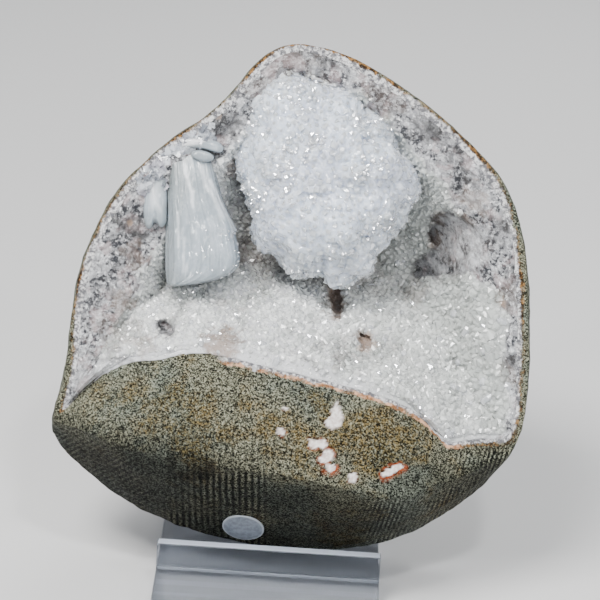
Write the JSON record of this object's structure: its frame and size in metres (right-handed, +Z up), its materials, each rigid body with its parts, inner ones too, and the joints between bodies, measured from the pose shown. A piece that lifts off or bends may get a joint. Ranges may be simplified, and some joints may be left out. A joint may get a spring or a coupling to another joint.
{
  "type": "goosecreekite specimen",
  "caption": "Half of a sawn basalt geode lined with quartz, holding a ball of white crystals and a flared goosecreekite crystal, leaning back in a clear acrylic stand.",
  "frame": {"origin": "centre of the underside of the stand's floor plate", "axes": "+Z up and along the specimen's height, the open side of the geode faces -Y, +X to its right seen from the front"},
  "size_m": [0.1084, 0.092, 0.1194],
  "materials": {
    "basalt": "rough broken and sawn",
    "quartz": "small glassy crystals",
    "white_crystal": "sparkling blocky crystals",
    "goosecreekite": "smooth and translucent",
    "dot_film": "satin film",
    "acrylic": "clear and polished, with sawn edges"
  },
  "bodies": {
    "root": {"basalt_shell": "basalt", "quartz_crust": "quartz", "goosecreekite_ball": "white_crystal", "goosecreekite_fan": "goosecreekite", "adhesive_dot": "dot_film", "stand_base": "acrylic", "stand_ledge": "acrylic", "stand_back_rest": "acrylic"}
  },
  "joints": []
}
